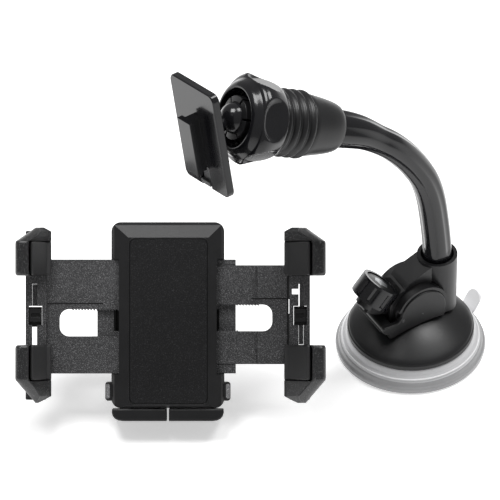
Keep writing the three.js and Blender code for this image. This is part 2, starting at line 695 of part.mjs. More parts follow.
function syncPinion() {
  const s = new THREE.Shape();
  const [px, py] = pinionCentre;
  const tip = pinionRadius + armSlot.tooth / 2 - 0.15;
  const root = pinionRadius - armSlot.tooth / 2 - 0.25;
  for (let i = 0; i < pinionTeeth; i++) {
    const a = Math.PI / 2 + (i * 2 * Math.PI) / pinionTeeth;
    const step = Math.PI / pinionTeeth;
    for (const [turn, r] of [[-0.55, root], [-0.15, tip], [0.15, tip], [0.55, root]]) {
      const at = [px + r * Math.cos(a + turn * step), py + r * Math.sin(a + turn * step)];
      if (i === 0 && turn === -0.55) s.moveTo(...at);
      else s.lineTo(...at);
    }
  }
  const gear = raised(s, tailBack - 0.2, plateTop - 0.3);
  const hub = bar([px, py, tailBack - 2.5], [px, py, tailBack], 3.4, 20);
  return gear.add(hub).subtract(bar([px, py, -20], [px, py, 2], 2 + gap, 16));
}

function helix(centre, axis, radius, wire, turns, length) {
  const points = [];
  const steps = turns * 8;
  for (let i = 0; i <= steps; i++) {
    const a = (i * Math.PI) / 4;
    const c = [radius * Math.cos(a), radius * Math.sin(a), (length * i) / steps];
    const at = axis === "z" ? [c[0], c[1], c[2]] : [c[0], c[2], c[1]];
    points.push(new THREE.Vector3(centre[0] + at[0], centre[1] + at[1], centre[2] + at[2]));
  }
  const round = new THREE.Shape();
  round.absarc(0, 0, wire, 0, 2 * Math.PI, false);
  const path = new THREE.CatmullRomCurve3(points);
  return solid(new THREE.ExtrudeGeometry(round, { steps, extrudePath: path, curveSegments: 2 }));
}

function ratchetPawl() {
  const { x0, x1, barLow, barHigh, barLeft, barRight } = pawl;
  const slope = barHigh - barLow;
  const wedge = outline([
    [barLeft - slope, barLow], [barRight + slope, barLow], [barRight, barHigh], [barLeft, barHigh],
  ]);
  const stem = block(x0, x1, barLow + 1, armSlot.rightHigh - 2, skinBack, arm.lift - 0.2);
  const tip = block(
    x0, x1, armSlot.rightHigh - 4, armSlot.rightHigh - armSlot.tooth - 0.15, plateBack, arm.lift - 0.2,
  );
  return raised(wedge, skinBack, arm.lift - 0.2).add(stem).add(tip);
}

function releaseButton(side) {
  const { barLow, barHigh, barLeft, barRight } = pawl;
  const head = raised(
    roundedOutline(body.half - 2.4, body.half + button.proud, button.low, button.high, 1.6), -10, -5.6,
    0.5,
  );
  const start = side > 0 ? barRight : -barLeft;
  const slope = barHigh - barLow;
  const clearance = gap * Math.SQRT2;
  const stem = outline([
    [start + clearance, barHigh], [
      start + slope + clearance, barLow,
    ], [body.half - 2, barLow], [body.half - 2, barHigh],
  ]);
  const made = head.add(raised(stem, skinBack, arm.lift - 1.2));
  return side > 0 ? made : placed(made, new THREE.Matrix4().makeScale(-1, 1, 1));
}

function pullFoot(side) {
  const s = new THREE.Shape();
  const low = body.bottom - gap - foot.height;
  const high = body.bottom - gap;
  s.moveTo(0.55, low);
  s.lineTo(body.half - 6, low);
  s.quadraticCurveTo(body.half - 0.6, low + 0.3, body.half - 0.2, high - 2);
  s.lineTo(body.half - 0.4, high);
  s.lineTo(0.55, high);
  const made = raised(s, -body.depth + 1, -1.2, 0.6);
  const hollow = block(3, body.half - 7, low + 1.8, high - 1.8, -body.depth - 1, -5);
  const solidFoot = made.subtract(hollow);
  return side > 0 ? solidFoot : placed(solidFoot, new THREE.Matrix4().makeScale(-1, 1, 1));
}

// ---- rails and claws, made on the right and mirrored; a is the distance out from the middle ----
const railZ = { top: -1.6, foot: skinBack };

function sideRail(side) {
  const a0 = reach.railIn;
  const a1 = reach.railIn + reach.railWidth;
  let made = raised(roundedOutline(a0, a1, -41, 48, 0.8), railZ.foot, railZ.top)
    .subtract(block(a0 + 4.9, a0 + 7.5, 8.3, 20, -9, 2))
    .subtract(block(a0 + 4.9, a0 + 7.5, 25, 46.5, -9, 2))
    .subtract(block(a0 + 4.9, a0 + 7.5, -38, -0.7, -9, 2))
    .subtract(block(a0 + 2.2, a0 + 9.2, -1.6, 8.4, -9, 2));
  if (side > 0) made = made.subtract(block(a0 + 1.4, a0 + 5, 14.6, 17.4, -9, 2));
  return side > 0 ? made : placed(made, new THREE.Matrix4().makeScale(-1, 1, 1));
}

function detentBlock(side) {
  const a0 = reach.railIn + 2.2 + gap;
  const made = block(a0, a0 + 7 - 2 * gap, 0, 6.9, railZ.foot, railZ.top - 0.4)
    .subtract(block(a0 + 1, a0 + 5.4, 2.4, 4.4, railZ.top - 1.6, 2));
  return side > 0 ? made : placed(made, new THREE.Matrix4().makeScale(-1, 1, 1));
}

const clawIn = 61.3;
const clawFloor = railZ.top + gap;
const slantFoot = [clawIn + 2.4, 1];
const clawOuter = (side) => clawIn + (side > 0 ? claw.wideRight : claw.wideLeft);
const slantHead = (side) => [clawOuter(side) - claw.wall + 1.6, 15];
const clawEnds = {
  top: { start: 24.4, grip: 18.2, end: 7.2 }, bottom: { start: 12, grip: 18.6, end: 12 },
};

function sideClaw(side, up) {
  const { start, grip, end } = up > 0 ? clawEnds.top : clawEnds.bottom;
  const stop = start + grip + end;
  const clawOut = clawOuter(side);
  const section = outline([
    [clawIn, clawFloor], [clawOut, clawFloor], [clawOut, claw.rise - 2.2], [
      clawOut - 1.4, claw.rise - 0.5,
    ],
    [clawOut - 3.4, claw.rise], [
      clawOut - claw.wall + 1, claw.rise - 0.6,
    ], slantHead(side), slantFoot, [clawIn, 1],
  ]);
  let made = upright(section, start, stop);
  const b1 = start + grip;
  const down = new THREE.Matrix4().set(0, 0, 1, 0, 1, 0, 0, 0, 0, 1, 0, 0, 0, 0, 0, 1);
  const slope = outline([[b1, claw.rise + 1], [stop + 1, 2.4], [stop + 1, claw.rise + 1]]);
  made = made.subtract(placed(raised(slope, clawIn - 5, clawOut + 5), down));
  made = made.subtract(
    raised(outline([[clawOut + 1, b1 - 0.6], [clawOut + 1, stop + 1], [clawOut - 10.4, stop + 1]]), -9, 30),
  );
  made = made.subtract(
    raised(outline([[clawIn - 1, stop - 5], [clawIn + 5, stop + 1], [clawIn - 1, stop + 1]]), -9, 30),
  );
  const lip = block(
    reach.railIn + reach.railWidth + gap, clawOut - 2.6, start, b1 - 1, railZ.foot, clawFloor + 1,
  );
  const key = block(
    reach.railIn + 5.2, reach.railIn + 7.2, start + 14, start + 20, railZ.foot, clawFloor + 1,
  );
  made = made.add(lip).add(key);
  return mirrored(made, side, up);
}

function mirrored(made, side, up) {
  return placed(made, new THREE.Matrix4().makeScale(side, up, 1));
}

function clawPad(side, up) {
  const { start, grip } = up > 0 ? clawEnds.top : clawEnds.bottom;
  const [headA, headZ] = slantHead(side);
  const back = [[slantFoot[0] - 0.35, 1.35], [headA - 0.35, headZ + 0.2]];
  const front = [[headA - 2.2, headZ + 0.2], [clawIn - 0.2, 1.35]];
  const made = upright(outline([...back, ...front]), start + 0.4, start + grip - 0.4);
  return mirrored(made, side, up);
}

// ---- the assembly ----
const mount = new THREE.Group();

const baseGroup = new THREE.Group();
baseGroup.rotation.z = rad(base.turn);
mount.add(baseGroup);
baseGroup.add(piece("suction_disc", suctionDisc(), "clear"));
baseGroup.add(piece("suction_dome", suctionDome(), "satin"));
baseGroup.add(piece("cup_stud", cupStud(), "steel"));
baseGroup.add(piece("lever_pin", leverPin(), "steel"));
baseGroup.add(piece("suction_lever", suctionLever(), "satin"));
baseGroup.add(piece("neck_bracket", neckBracket(), "satin"));
baseGroup.add(piece("tilt_knob", tiltKnob(), "gloss"));
baseGroup.add(piece("tilt_bolt", tiltBolt(), "steel"));

const neckGroup = new THREE.Group();
neckGroup.position.set(
  bracket.socketX * Math.cos(rad(base.turn)), bracket.socketX * Math.sin(rad(base.turn)), 0,
);
neckGroup.rotation.z = rad(neck.turn);
mount.add(neckGroup);
neckGroup.add(piece("neck_lower", neckLower(), "gloss"));
neckGroup.add(piece("neck_upper", neckUpper(), "gloss"));
neckGroup.add(piece("neck_core_lower", tube(lowerRoute, neck.core, 0.02, 0.82, 8, 8), "steel"));
neckGroup.add(piece("neck_core_upper", tube(upperRoute, neck.core, 0.22, 0.98, 8, 8), "steel"));

const headGroup = new THREE.Group();
headGroup.position.copy(neckEnd);
headGroup.rotation.y = -rad(90 - head.rise);
neckGroup.add(headGroup);
headGroup.add(piece("ball_housing", ballHousing(), "satin"));
headGroup.add(piece("ball_cup", ballCup(), "satin"));
const nutPiece = piece("clamp_nut", clampNut(), "gloss");
nutPiece.rotation.z = rad(nut.turn);
headGroup.add(nutPiece);
const ballPiece = piece("ball", sphere(new THREE.Vector3(), ball.radius, 20), "gloss");
ballPiece.position.set(0, 0, ballHeight);
headGroup.add(ballPiece);

mount.updateMatrixWorld(true);
const ballPlace = ballPiece.getWorldPosition(new THREE.Vector3());
const plateTurn = new THREE.Group();
plateTurn.position.copy(ballPlace);
plateTurn.rotation.z = rad(plate.turn);
const plateGroup = new THREE.Group();
plateGroup.rotation.x = rad(plate.roll);
plateTurn.add(plateGroup);
mount.add(plateTurn);
plateGroup.add(piece("ball_stem", ballStem(), "gloss"));
plateGroup.add(piece("clip_plate", clipPlate(), "gloss"));
plateGroup.add(piece("clip_latch", clipLatch(), "satin"));

const holderGroup = new THREE.Group();
holderGroup.position.set(-129.1, -41.5, 53.4);
holderGroup.rotation.x = rad(viewTilt);
mount.add(holderGroup);
holderGroup.add(piece("front_cover", frontCover(), "satin"));
holderGroup.add(piece("front_pad", frontPad(), "padding"));
holderGroup.add(piece("rear_cover", rearCover(), "satin"));
holderGroup.add(piece("clip_receiver", clipReceiver(), "satin"));
screwPlaces.forEach(
  (place, i) => holderGroup.add(piece("cover_screw_" + (i + 1), coverScrew(place), "steel")),
);
holderGroup.add(piece("left_arm", leftArm(), "grained"));
holderGroup.add(piece("right_arm", rightArm(), "grained"));
holderGroup.add(piece("sync_pinion", syncPinion(), "satin"));
const springPlace = [...pinionCentre, -17];
holderGroup.add(piece("pinion_spring", helix(springPlace, "z", 5, 0.4, 3, 3.4), "steel"));
holderGroup.add(piece("ratchet_pawl", ratchetPawl(), "satin"));
const pawlFoot = [4, body.bottom + body.shell + 0.7, (skinBack + arm.lift) / 2];
const pawlSpringLength = pawl.barLow - pawlFoot[1] - 0.6 - button.stroke;
holderGroup.add(
  piece("pawl_spring", helix(pawlFoot, "y", 1.4, 0.25, 4, pawlSpringLength), "steel"),
);
for (const [word, side] of [["left", -1], ["right", 1]]) {
  holderGroup.add(piece(word + "_button", releaseButton(side), "key"));
  holderGroup.add(piece(word + "_foot", pullFoot(side), "satin"));
  holderGroup.add(piece(word + "_rail", sideRail(side), "grained"));
  holderGroup.add(piece(word + "_detent", detentBlock(side), "satin"));
  for (const [level, up] of [["top", 1], ["bottom", -1]]) {
    holderGroup.add(piece(word + "_" + level + "_claw", sideClaw(side, up), "grained"));
    holderGroup.add(piece(word + "_" + level + "_claw_pad", clawPad(side, up), "rubber"));
  }
}

export default mount;
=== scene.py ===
import bpy
import bmesh
import math
from mathutils import Matrix, Vector


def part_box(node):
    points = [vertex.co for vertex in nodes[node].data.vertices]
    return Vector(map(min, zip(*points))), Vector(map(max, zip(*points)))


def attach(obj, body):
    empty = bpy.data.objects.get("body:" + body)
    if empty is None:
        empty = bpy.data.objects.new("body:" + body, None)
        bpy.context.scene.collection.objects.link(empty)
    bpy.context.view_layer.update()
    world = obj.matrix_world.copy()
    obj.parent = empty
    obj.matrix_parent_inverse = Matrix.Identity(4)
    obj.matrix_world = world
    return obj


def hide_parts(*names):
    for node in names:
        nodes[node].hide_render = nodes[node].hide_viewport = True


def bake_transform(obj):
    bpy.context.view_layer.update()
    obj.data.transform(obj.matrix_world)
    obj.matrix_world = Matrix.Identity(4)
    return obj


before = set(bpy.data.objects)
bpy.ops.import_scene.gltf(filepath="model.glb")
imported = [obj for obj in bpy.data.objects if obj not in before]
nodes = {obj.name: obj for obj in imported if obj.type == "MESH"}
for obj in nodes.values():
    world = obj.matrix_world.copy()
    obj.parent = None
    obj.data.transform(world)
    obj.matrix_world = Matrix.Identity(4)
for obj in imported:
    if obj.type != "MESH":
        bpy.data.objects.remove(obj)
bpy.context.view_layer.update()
scene = bpy.context.scene
rad = math.radians


def turn(degrees, axis):
    return Matrix.Rotation(rad(degrees), 4, axis)


def shift(x, y, z):
    return Matrix.Translation((x, y, z))


# local frames in millimetres, each brought to the row frame in metres
toMetres = Matrix.Scale(0.001, 4)
baseFrame = toMetres @ turn(30, "Z")
socketAt = turn(30, "Z") @ Vector((15.7, 0, 0))
neckFrame = toMetres @ Matrix.Translation(socketAt) @ turn(23, "Z")
neckEnd = Vector((-60.5, 0, 166.5))
headFrame = neckFrame @ Matrix.Translation(neckEnd) @ turn(-65, "Y")
ballLow, ballHigh = (Vector(v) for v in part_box("ball"))
ballAt = (ballLow + ballHigh) * 500
plateFrame = toMetres @ Matrix.Translation(ballAt) @ turn(215.2, "Z") @ turn(14.3, "X")
holderFrame = toMetres @ shift(-129.1, -41.5, 53.4) @ turn(48, "X")

# shader groups that the finishes share


def newGroup(name, inputs, outputs):
    group = bpy.data.node_groups.new(name, "ShaderNodeTree")
    for label, value in inputs:
        socket = group.interface.new_socket(label, in_out="INPUT", socket_type="NodeSocketFloat")
        socket.default_value = value
    for label in outputs:
        group.interface.new_socket(label, in_out="OUTPUT", socket_type="NodeSocketFloat")
    return group, group.nodes.new("NodeGroupInput"), group.nodes.new("NodeGroupOutput")


def link(tree, a, b):
    tree.links.new(a, b)


def noiseNode(tree, scaleSocket, detail, vector):
    noise = tree.nodes.new("ShaderNodeTexNoise")
    noise.inputs["Detail"].default_value = detail
    link(tree, vector, noise.inputs["Vector"])
    if scaleSocket is not None:
        link(tree, scaleSocket, noise.inputs["Scale"])
    return noise


def rangeNode(tree, value, low, high, outLow, outHigh):
    node = tree.nodes.new("ShaderNodeMapRange")
    node.inputs["From Min"].default_value = low
    node.inputs["From Max"].default_value = high
    node.inputs["To Min"].default_value = outLow
    node.inputs["To Max"].default_value = outHigh
    link(tree, value, node.inputs["Value"])
    return node.outputs["Result"]


grainGroup, groupIn, groupOut = newGroup(
    "MouldGrain", [("Scale", 1500), ("Speck Level", 0.6)], ["Height", "Specks"])
coords = grainGroup.nodes.new("ShaderNodeTexCoord").outputs["Object"]
fineNoise = noiseNode(grainGroup, groupIn.outputs["Scale"], 3, coords)
link(grainGroup, fineNoise.outputs["Fac"], groupOut.inputs["Height"])
above = grainGroup.nodes.new("ShaderNodeMath")
above.operation = "SUBTRACT"
link(grainGroup, fineNoise.outputs["Fac"], above.inputs[0])
link(grainGroup, groupIn.outputs["Speck Level"], above.inputs[1])
link(grainGroup, rangeNode(grainGroup, above.outputs[0], 0, 0.08, 0, 1), groupOut.inputs["Specks"])

mottleGroup, groupIn, groupOut = newGroup("HandlingMottle", [("Scale", 45)], ["Mottle", "Streak"])
coords = mottleGroup.nodes.new("ShaderNodeTexCoord").outputs["Object"]
broad = noiseNode(mottleGroup, groupIn.outputs["Scale"], 4, coords)
link(mottleGroup, rangeNode(mottleGroup, broad.outputs["Fac"], 0.3, 0.7, 0, 1), groupOut.inputs["Mottle"])
stretch = mottleGroup.nodes.new("ShaderNodeMapping")
stretch.inputs["Scale"].default_value = (900, 60, 60)
link(mottleGroup, coords, stretch.inputs["Vector"])
streaks = noiseNode(mottleGroup, None, 2, stretch.outputs["Vector"])
streaks.inputs["Scale"].default_value = 1
link(mottleGroup, rangeNode(mottleGroup, streaks.outputs["Fac"], 0.55, 0.75, 0, 1), groupOut.inputs["Streak"])


def plastic(name, look):
    material = bpy.data.materials.new(name)
    material.use_nodes = True
    tree = material.node_tree
    shader = tree.nodes["Principled BSDF"]
    grain = tree.nodes.new("ShaderNodeGroup")
    grain.node_tree = grainGroup
    grain.inputs["Scale"].default_value = look["grainScale"]
    grain.inputs["Speck Level"].default_value = look.get("speckLevel", 0.62)
    mottle = tree.nodes.new("ShaderNodeGroup")
    mottle.node_tree = mottleGroup
    mottle.inputs["Scale"].default_value = look.get("mottleScale", 45)
    base = tree.nodes.new("ShaderNodeMix")
    base.data_type = "RGBA"
    dark = look["colour"]
    light = [c * look.get("mottleLift", 1.2) for c in dark]
    base.inputs[6].default_value = (*dark, 1)
    base.inputs[7].default_value = (*light, 1)
    link(tree, mottle.outputs["Mottle"], base.inputs[0])
    specked = tree.nodes.new("ShaderNodeMix")
    specked.data_type = "RGBA"
    specked.inputs[7].default_value = (*look.get("speckColour", light), 1)
    link(tree, base.outputs[2], specked.inputs[6])
    link(tree, grain.outputs["Specks"], specked.inputs[0])
    link(tree, specked.outputs[2], shader.inputs["Base Color"])
    low, high = look["roughness"]
    link(tree, rangeNode(tree, mottle.outputs["Mottle"], 0, 1, low, high), shader.inputs["Roughness"])
    bump = tree.nodes.new("ShaderNodeBump")
    bump.inputs["Strength"].default_value = look["bump"]
    bump.inputs["Distance"].default_value = 0.0002
    link(tree, grain.outputs["Height"], bump.inputs["Height"])
    link(tree, bump.outputs["Normal"], shader.inputs["Normal"])
    shader.inputs["Metallic"].default_value = look.get("metallic", 0)
    shader.inputs["Coat Weight"].default_value = look.get("coat", 0)
    shader.inputs["Coat Roughness"].default_value = 0.08
    shader.inputs["Specular IOR Level"].default_value = look.get("specular", 0.5)
    if "transmission" in look:
        shader.inputs["Transmission Weight"].default_value = look["transmission"]
    return material


# colours are linear; grainScale is in cells per metre, bump is the strength of the grain
finishes = {
    "satin_plastic": {
        "colour": (0.008, 0.008, 0.0085), "roughness": (0.3, 0.4), "specular": 0.38,
        "grainScale": 1100, "bump": 0.14, "mottleLift": 1.5},
    "gloss_plastic": {
        "colour": (0.006, 0.006, 0.007), "roughness": (0.13, 0.24), "specular": 0.3, "coat": 0.25,
        "grainScale": 400, "bump": 0.03, "mottleLift": 1.5},
    "grained_plastic": {
        "colour": (0.018, 0.018, 0.019), "roughness": (0.4, 0.54),
        "grainScale": 2600, "speckLevel": 0.54, "speckColour": (0.17, 0.17, 0.175), "bump": 0.9,
        "mottleScale": 28, "mottleLift": 1.7},
    "claw_plastic": {
        "colour": (0.009, 0.009, 0.0095), "roughness": (0.28, 0.38),
        "grainScale": 1900, "speckLevel": 0.57, "speckColour": (0.09, 0.09, 0.092), "bump": 0.5,
        "mottleLift": 1.6},
    # also the dark lines along the arm creases, as painted shade
    "face_rubber": {
        "colour": (0.006, 0.006, 0.0065), "roughness": (0.7, 0.85), "specular": 0.25,
        "grainScale": 2300, "speckLevel": 0.57, "speckColour": (0.03, 0.03, 0.032), "bump": 0.6},
    # also the dark strips in the slots and detent windows, as painted shade
    "claw_rubber": {
        "colour": (0.014, 0.014, 0.0145), "roughness": (0.5, 0.62),
        "grainScale": 1500, "bump": 0.2, "mottleLift": 1.5},
    "clear_rubber": {
        "colour": (0.56, 0.56, 0.57), "roughness": (0.16, 0.26),
        "grainScale": 300, "bump": 0.03, "mottleLift": 1.08},
    # a darker copy of the clear rubber, painted as shade on the disc's lower outer wall
    "painted_shade_rubber": {
        "colour": (0.3, 0.3, 0.305), "roughness": (0.16, 0.26),
        "grainScale": 300, "bump": 0.03, "mottleLift": 1.1},
    # a pale rubber: the tab's pale colour, and a painted highlight on the disc's ring line
    "pale_rubber_and_highlight": {
        "colour": (0.8, 0.8, 0.81), "roughness": (0.16, 0.26),
        "grainScale": 300, "bump": 0.03, "mottleLift": 1.06},
    "steel": {
        "colour": (0.42, 0.43, 0.44), "roughness": (0.3, 0.45), "metallic": 1,
        "grainScale": 700, "bump": 0.1},
    # also the grey strips in the slots, painted as light seen through them with shade
    "button_plastic": {
        "colour": (0.13, 0.13, 0.135), "roughness": (0.5, 0.65),
        "grainScale": 2200, "speckLevel": 0.55, "speckColour": (0.4, 0.4, 0.41), "bump": 0.6},
}
materials = {slot: plastic(slot, look) for slot, look in finishes.items()}
print("materials made")

# mesh makers: shapes are in millimetres in a local frame


def finishPiece(name, bm, place, finish, body, replaced=(), bevel=0.0, angle=32, segments=3):
    bmesh.ops.recalc_face_normals(bm, faces=bm.faces)
    mesh = bpy.data.meshes.new(name)
    bm.transform(place)
    bm.to_mesh(mesh)
    bm.free()
    mesh.shade_smooth()
    piece = bpy.data.objects.new(name, mesh)
    scene.collection.objects.link(piece)
    mesh.materials.append(materials[finish])
    if bevel:
        rounding = piece.modifiers.new("edgeRounding", "BEVEL")
        rounding.width = bevel / 1000
        rounding.segments = segments
        rounding.limit_method = "ANGLE"
        rounding.angle_limit = rad(angle)
        rounding.harden_normals = False
    even = piece.modifiers.new("evenShading", "WEIGHTED_NORMAL")
    even.keep_sharp = True
    if body:
        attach(piece, body)
    if replaced:
        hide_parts(*replaced)
    return piece


# a CAD node's mesh in the row frame, with its flat faces joined again
def fromNode(node):
    bm = bmesh.new()
    bm.from_mesh(nodes[node].data)
    bm.transform(nodes[node].matrix_world)
    bmesh.ops.remove_doubles(bm, verts=bm.verts, dist=2e-6)
    bmesh.ops.dissolve_limit(bm, angle_limit=rad(1), verts=bm.verts, edges=bm.edges)
    return bm


# a CAD node's own shape, with rounded edges and a finish
def carried(node, finish, body, bevel, angle=32, segments=3):
    still = Matrix.Identity(4)
    finishPiece(node + "_shell", fromNode(node), still, finish, body, [node], bevel, angle, segments)


# a skin over rings of points that all have the same count
def skinRings(rings, closedEnds=True, loop=False):
    bm = bmesh.new()
    made = [[bm.verts.new(p) for p in ring] for ring in rings]
    pairs = list(zip(made, made[1:]))
    if loop:
        pairs.append((made[-1], made[0]))
    for a, b in pairs:
        count = len(a)
        for i in range(count):
            j = (i + 1) % count
            bm.faces.new((a[i], a[j], b[j], b[i]))
    if closedEnds and not loop:
        bm.faces.new(list(reversed(made[0])))
        bm.faces.new(made[-1])
    return bm


# a profile of radius and height, turned round z
def turnedRings(profile, steps=96, loop=True):
    rings = []
    for r, z in profile:
        rings.append([(max(r, 0.001) * math.cos(2 * math.pi * i / steps),
                       max(r, 0.001) * math.sin(2 * math.pi * i / steps), z) for i in range(steps)])
    return skinRings(rings, closedEnds=not loop, loop=loop)


# a flat outline with holes, raised from z0 to z1
def slab(outer, z0, z1, holes=()):
    bm = bmesh.new()
    edges = []
    for loop in [outer, *holes]:
        ring = [bm.verts.new((x, y, z0)) for x, y in loop]
        edges += [bm.edges.new((ring[i], ring[(i + 1) % len(ring)])) for i in range(len(ring))]
    bmesh.ops.triangle_fill(bm, use_beauty=True, use_dissolve=False, edges=edges)
    grown = bmesh.ops.extrude_face_region(bm, geom=bm.faces[:])
    top = [v for v in grown["geom"] if isinstance(v, bmesh.types.BMVert)]
    bmesh.ops.translate(bm, verts=top, vec=(0, 0, z1 - z0))
    bmesh.ops.dissolve_limit(bm, angle_limit=rad(0.5), verts=bm.verts, edges=bm.edges)
    return bm


def roundedBox(x0, x1, y0, y1, r, steps=8):
    points = []
    corners = [(x1 - r, y0 + r, -90), (x1 - r, y1 - r, 0), (x0 + r, y1 - r, 90), (x0 + r, y0 + r, 180)]
    for cx, cy, start in corners:
        for i in range(steps + 1):
            a = rad(start + 90 * i / steps)
            points.append((cx + r * math.cos(a), cy + r * math.sin(a)))
    return points


def smoothStep(x, low, high):
    t = min(1, max(0, (x - low) / (high - low)))
    return t * t * (3 - 2 * t)


# points at even spacing on a smooth curve through the given ones
def curveThrough(points, count):
    spans = []
    ends = [2 * points[0] - points[1], *points, 2 * points[-1] - points[-2]]
    for i in range(1, len(ends) - 2):
        p0, p1, p2, p3 = ends[i - 1:i + 3]
        for k in range(24):
            t = k / 24
            spans.append(0.5 * (2 * p1 + (p2 - p0) * t + (2 * p0 - 5 * p1 + 4 * p2 - p3) * t * t
                                + (3 * p1 - p0 - 3 * p2 + p3) * t ** 3))
    spans.append(points[-1].copy())
    lengths = [0]
    for a, b in zip(spans, spans[1:]):
        lengths.append(lengths[-1] + (b - a).length)
    out, k = [], 0
    for i in range(count + 1):
        want = lengths[-1] * i / count
        while k < len(spans) - 2 and lengths[k + 1] < want:
            k += 1
        t = (want - lengths[k]) / (lengths[k + 1] - lengths[k])
        out.append(spans[k].lerp(spans[k + 1], min(1, t)))
    return out, lengths[-1]


# suction base
disc = {
    "steps": 128, "paintedShadeBelow": 0.0058,  # the wall below this height, in metres, takes a darker finish as painted shade
    "tabTurn": 7, "tabAt": (38.4, 0, 3.1), "tabSlope": -55}
discProfile = [
    (0.1, 0), (39.4, 0), (39.9, 0.25), (40, 0.8), (40, 2.4), (39.8, 2.95), (39.3, 3.25), (38.7, 3.6),
    (38.3, 4.6), (38.0, 5.3), (37.5, 5.7), (37.0, 6.0), (36.6, 6.9), (36.2, 7.5), (35.6, 7.9), (35.0, 8.4),
    (34.3, 10.2), (33.5, 11), (31, 11), (29, 11), (26.5, 7), (9, 5.4), (9, 12), (5.4, 12), (5.4, 3.5),
    (0.1, 3.5)]
discMesh = turnedRings(discProfile, disc["steps"])
discBody = finishPiece("disc_body", discMesh, baseFrame, "clear_rubber", "cup", ["suction_disc"], 0.25, 28)
discBody.data.materials.append(materials["painted_shade_rubber"])
# the lower outer wall takes the darker finish: painted shade
for face in discBody.data.polygons:
    if face.center.z < disc["paintedShadeBelow"]:
        face.material_index = 1
# a thin pale ring on the disc's wall: a painted highlight line
highlightRing = [(36.3, 6.9), (36.9, 6.9), (37, 7.4), (36.6, 7.7), (36.2, 7.5)]
finishPiece("disc_highlight_line", turnedRings(highlightRing, disc["steps"]), baseFrame, "pale_rubber_and_highlight", "cup", [], 0.1)
tabPlace = baseFrame @ turn(disc["tabTurn"], "Z") @ shift(*disc["tabAt"]) @ turn(disc["tabSlope"], "Y")
tab = slab(roundedBox(-1.5, 12.4, -5, 5, 4.4), -0.75, 0.75)
finishPiece("disc_tab", tab, tabPlace, "pale_rubber_and_highlight", "cup", ["suction_disc"], 0.5)

# the dome's crown falls away as a power of the radius
dome = {"foot": 31, "crown": 7, "low": 16.3, "rise": 9.7, "power": 1.75}
domeProfile = [
    (33.9, 11.35), (33.9, 13.4), (33.7, 13.9), (33.2, 14.2), (33.0, 14.6), (32.6, 15.2),
    (dome["foot"], dome["low"])]
fullFall = 1 - (dome["crown"] / dome["foot"]) ** dome["power"]
for i in range(1, 14):
    t = i / 14
    r = dome["foot"] * (1 - t) + dome["crown"] * t
    fall = 1 - (r / dome["foot"]) ** dome["power"]
    domeProfile.append((r, dome["low"] + dome["rise"] * fall / fullFall))
domeProfile += [
    (7, 26.05), (6.2, 25.9), (6, 25.4), (6, 24.2), (15, 21.8), (23, 18.4), (31, 13.6), (32.2, 12.2),
    (32.2, 11.35)]
domeMesh = turnedRings(domeProfile, disc["steps"])
finishPiece("dome_shell", domeMesh, baseFrame, "satin_plastic", "cup", ["suction_dome"], 0.2, 30)

lever = {
    "pinHeight": 33, "radius": 13.5, "inner": 10.3, "outer": 13.3, "grip": 10.9,
    "ribs": 4, "ribHalf": 10.7, "markHeight": 32.4}
leverPlace = baseFrame @ Matrix(((1, 0, 0, 0), (0, 0, 1, 0), (0, 1, 0, 0), (0, 0, 0, 1)))  # x, z and then y
cheek = []
for i in range(41):
    a = rad(-34 + 206 * i / 40)
    cheek.append((lever["radius"] * math.cos(a), lever["pinHeight"] + lever["radius"] * math.sin(a)))
cheek += [
    (-15.2, 32.6), (-17, 31.7), (-20, 31.6), (-24.3, 32), (-25.2, 31.2), (-25.4, 29.6), (-21.7, 25.4),
    (-20.6, 22.4), (-10, 24.6), (0, 25.7), (6, 25.7)]
for side, y0, y1 in [("near", -lever["outer"], -lever["inner"]), ("far", lever["inner"], lever["outer"])]:
    name, cheekMesh = "lever_cheek_" + side, slab(cheek, y0, y1)
    finishPiece(name, cheekMesh, leverPlace, "satin_plastic", "lever", ["suction_lever"], 0.6)
grip = [
    (-18.6, 27), (-18.6, 31), (-19.6, 31.5), (-24.2, 31.9), (-25.2, 31.1), (-25.3, 29.7), (-22.5, 25.7),
    (-20.2, 23.7)]
gripMesh = slab(grip, -lever["grip"], lever["grip"])
finishPiece("lever_grip", gripMesh, leverPlace, "satin_plastic", "lever", ["suction_lever"], 0.5)
carried("neck_bracket", "satin_plastic", "neck_base", 0.5, 34)
carried("tilt_knob", "gloss_plastic", "knob", 0.35, 34)
carried("tilt_bolt", "steel", "knob", 0.2, 40)
knobPlace = baseFrame @ shift(-22.5, 0, 48.2) @ turn(90 - 49, "Y")
capProfile = [(0.1, 4.4), (8.7, 4.4), (8.7, 4.9), (8.4, 5.15), (6, 5.45), (3, 5.6), (0.1, 5.65)]
finishPiece("knob_cap", turnedRings(capProfile, 64), knobPlace, "satin_plastic", "knob", [], 0.12, 30)
for i in range(lever["ribs"]):
    x, z = -24.7 + 1.15 * i, 28.9 - 1.38 * i
    outline = [(-0.4, 0.5), (-0.95, -0.3), (-0.45, -0.9), (0.9, -0.2), (0.6, 0.5)]
    ribMesh = slab([(x + dx, z + dz) for dx, dz in outline], -lever["ribHalf"], lever["ribHalf"])
    finishPiece(f"grip_rib_{i + 1}", ribMesh, leverPlace, "satin_plastic", "lever", [], 0.12)
for name, x, size in [("mould_mark_1", -12.6, 0.8), ("mould_mark_2", -0.8, 0.45)]:
    z = lever["markHeight"]
    mark = slab(roundedBox(x - size, x + size, z - size, z + size, size * 0.4), -13.42, -13.1)
    finishPiece(name, mark, leverPlace, "grained_plastic", "lever", [], 0.08)
print("base made")

